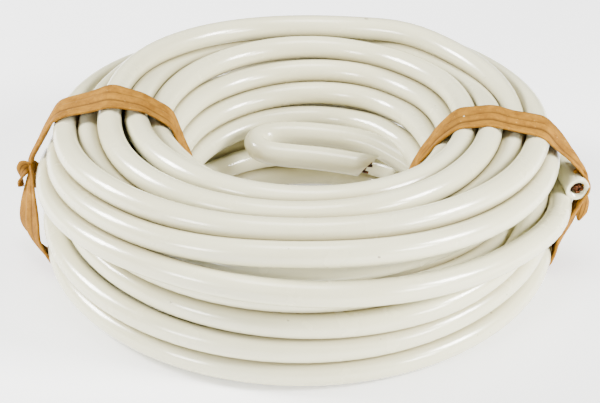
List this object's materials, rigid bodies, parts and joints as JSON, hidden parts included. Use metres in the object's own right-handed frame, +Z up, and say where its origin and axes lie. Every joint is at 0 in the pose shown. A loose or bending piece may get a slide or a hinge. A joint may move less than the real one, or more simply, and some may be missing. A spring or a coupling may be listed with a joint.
{
  "type": "coil of primary wire",
  "caption": "Coil of thick white plastic-jacketed stranded wire lying flat, held by two paper-covered twist ties, with both cut ends free.",
  "frame": {"origin": "on the floor, under the middle of the coil, on the axis of its bore", "axes": "+Z up along the bore; +X through the right-hand tie; -Y towards the front of the picture"},
  "size_m": [0.1118, 0.103, 0.0325],
  "materials": {
    "jacket": "satin",
    "conductor": "dull, darkened copper",
    "paper": "matte"
  },
  "bodies": {
    "root": {"wire_coil": "jacket", "outer_wire_end": "jacket", "inner_wire_end": "jacket", "outer_conductor": "conductor", "inner_conductor": "conductor", "left_tie": "paper", "right_tie": "paper"}
  },
  "joints": []
}
